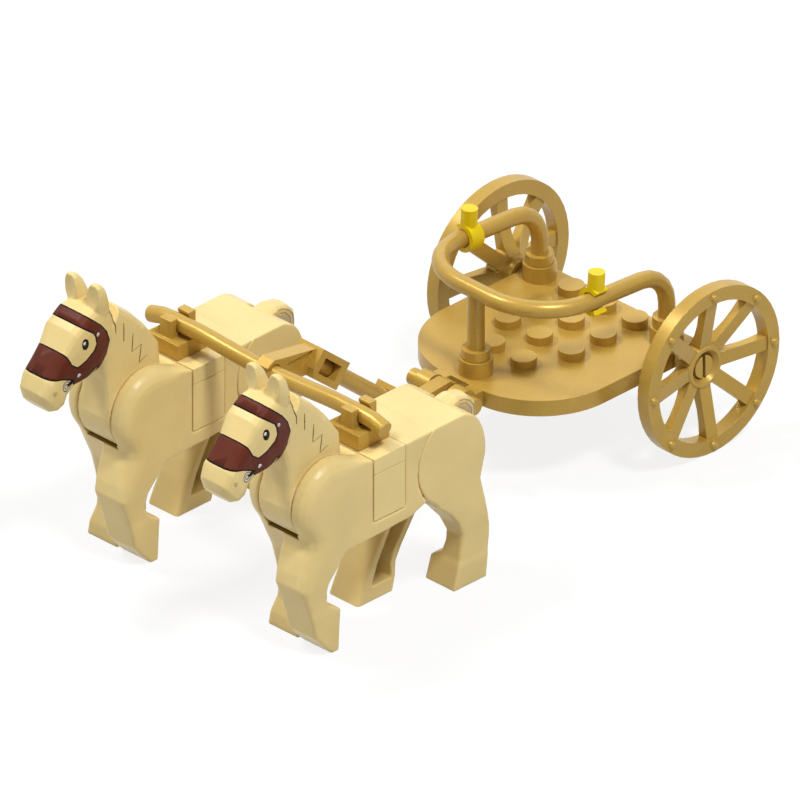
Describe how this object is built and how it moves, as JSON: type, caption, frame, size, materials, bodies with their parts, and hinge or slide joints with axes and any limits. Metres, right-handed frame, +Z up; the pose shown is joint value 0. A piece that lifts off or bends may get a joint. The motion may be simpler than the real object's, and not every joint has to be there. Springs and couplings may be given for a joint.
{
  "type": "two-horse toy chariot",
  "caption": "Moulded toy chariot with a studded deck, bent hand rail and spoked wheels, drawn by horses under a common yoke on a hinged pole.",
  "frame": {"origin": "centre of the bounding box's footprint, on the ground under the wheels and hooves", "axes": "+Z up; the horses head for -Y and the wheels stand at the +Y end; +X is the team's left side"},
  "size_m": [0.0612, 0.1378, 0.059],
  "materials": {
    "gold_plastic": "gold-coloured moulded plastic with a soft metallic sheen",
    "yellow_plastic": "bright yellow moulded plastic, semi-gloss",
    "tan_plastic": "light tan moulded plastic, semi-gloss; the heads carry a printed bridle and eyes"
  },
  "bodies": {
    "chariot": {"platform": "gold_plastic", "rail": "gold_plastic"},
    "wheel_left": {"wheel_left": "gold_plastic"},
    "wheel_right": {"wheel_right": "gold_plastic"},
    "grip_left": {"grip_left": "yellow_plastic"},
    "grip_right": {"grip_right": "yellow_plastic"},
    "pole_rear": {"pole_rear_holder": "gold_plastic"},
    "pole_rod": {"pole_rod": "gold_plastic"},
    "pole_front": {"pole_front_holder": "gold_plastic"},
    "yoke": {"yoke_bar": "gold_plastic"},
    "left_horse_body": {"left_horse_torso": "tan_plastic", "left_horse_filler_brick": "tan_plastic", "left_horse_jumper_plate": "tan_plastic", "left_horse_yoke_clip": "gold_plastic"},
    "left_horse_rear": {"left_horse_hindquarters": "tan_plastic", "left_horse_tail": "tan_plastic"},
    "left_horse_neck": {"left_horse_neck_and_head": "tan_plastic"},
    "right_horse_body": {"right_horse_torso": "tan_plastic", "right_horse_filler_brick": "tan_plastic", "right_horse_jumper_plate": "tan_plastic", "right_horse_yoke_clip": "gold_plastic"},
    "right_horse_rear": {"right_horse_hindquarters": "tan_plastic", "right_horse_tail": "tan_plastic"},
    "right_horse_neck": {"right_horse_neck_and_head": "tan_plastic"}
  },
  "joints": [
    {"name": "wheel_left_spin", "type": "hinge", "parent": "chariot", "child": "wheel_left", "pos_m": [0.0265, 0.05237, 0.0165], "axis": [1, 0, 0], "continuous": true},
    {"name": "wheel_right_spin", "type": "hinge", "parent": "chariot", "child": "wheel_right", "pos_m": [-0.0265, 0.05237, 0.0165], "axis": [1, 0, 0], "continuous": true},
    {"name": "grip_left_turn", "type": "hinge", "parent": "chariot", "child": "grip_left", "pos_m": [0.016, 0.03437, 0.03379], "axis": [0, -0.9974, 0.0718], "continuous": true},
    {"name": "grip_right_turn", "type": "hinge", "parent": "chariot", "child": "grip_right", "pos_m": [-0.016, 0.03437, 0.03379], "axis": [0, -0.9974, 0.0718], "continuous": true},
    {"name": "pole_hinge", "type": "hinge", "parent": "chariot", "child": "pole_rear", "pos_m": [0, 0.01237, 0.0173], "axis": [1, 0, 0], "range_deg": [-45, 15]},
    {"name": "rod_twist", "type": "hinge", "parent": "pole_rear", "child": "pole_rod", "pos_m": [0, 0.00027, 0.0195], "axis": [0, -0.766, 0.6429], "range_deg": [-25, 25]},
    {"name": "front_holder_twist", "type": "hinge", "parent": "pole_rod", "child": "pole_front", "pos_m": [0, -0.01933, 0.03595], "axis": [0, -0.766, 0.6429], "range_deg": [-25, 25]},
    {"name": "yoke_turn", "type": "hinge", "parent": "pole_front", "child": "yoke", "pos_m": [0, -0.03193, 0.0397], "axis": [1, 0, 0], "range_deg": [-45, 45]},
    {"name": "left_horse_pitch", "type": "hinge", "parent": "yoke", "child": "left_horse_body", "pos_m": [0.02275, -0.03193, 0.04045], "axis": [1, 0, 0], "range_deg": [-25, 25]},
    {"name": "left_horse_hip", "type": "hinge", "parent": "left_horse_body", "child": "left_horse_rear", "pos_m": [0.02275, -0.01503, 0.0277], "axis": [1, 0, 0], "range_deg": [0, 30]},
    {"name": "left_horse_neck_nod", "type": "hinge", "parent": "left_horse_body", "child": "left_horse_neck", "pos_m": [0.02275, -0.04513, 0.0302], "axis": [1, 0, 0], "range_deg": [-8, 25]},
    {"name": "right_horse_pitch", "type": "hinge", "parent": "yoke", "child": "right_horse_body", "pos_m": [-0.02275, -0.03193, 0.04045], "axis": [1, 0, 0], "range_deg": [-25, 25]},
    {"name": "right_horse_hip", "type": "hinge", "parent": "right_horse_body", "child": "right_horse_rear", "pos_m": [-0.02275, -0.01503, 0.0277], "axis": [1, 0, 0], "range_deg": [0, 30]},
    {"name": "right_horse_neck_nod", "type": "hinge", "parent": "right_horse_body", "child": "right_horse_neck", "pos_m": [-0.02275, -0.04513, 0.0302], "axis": [1, 0, 0], "range_deg": [-8, 25]}
  ]
}
